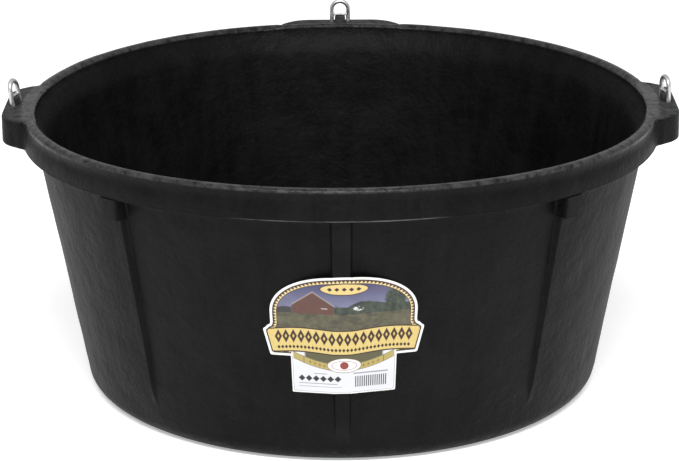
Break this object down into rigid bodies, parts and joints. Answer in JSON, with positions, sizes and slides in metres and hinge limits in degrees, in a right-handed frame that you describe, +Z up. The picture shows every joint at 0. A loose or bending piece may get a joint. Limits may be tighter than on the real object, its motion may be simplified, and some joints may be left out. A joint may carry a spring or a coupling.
{
  "type": "feed tub",
  "caption": "Wide round black rubber feed tub with a banded rim, moulded hanging lugs, bolted steel loops, stiffening ribs and a printed card on the front.",
  "frame": {"origin": "centre of the flat underside of the base, on the tub's axis", "axes": "+Z up along the tub's axis, -Y to the front where the card is, +Y through the back lug, +X through the right lug as seen from the front"},
  "size_m": [0.49, 0.4775, 0.2269],
  "materials": {
    "rubber": "matte moulded black rubber",
    "card": "printed card, satin",
    "zinc_steel": "bright zinc plated steel"
  },
  "bodies": {
    "root": {"tub": "rubber", "card": "card", "loop_left": "zinc_steel", "cross_bar_left": "zinc_steel", "backing_plate_left": "zinc_steel", "nut_a_left": "zinc_steel", "nut_b_left": "zinc_steel", "loop_back": "zinc_steel", "cross_bar_back": "zinc_steel", "backing_plate_back": "zinc_steel", "nut_a_back": "zinc_steel", "nut_b_back": "zinc_steel", "loop_right": "zinc_steel", "cross_bar_right": "zinc_steel", "backing_plate_right": "zinc_steel", "nut_a_right": "zinc_steel", "nut_b_right": "zinc_steel"}
  },
  "joints": []
}
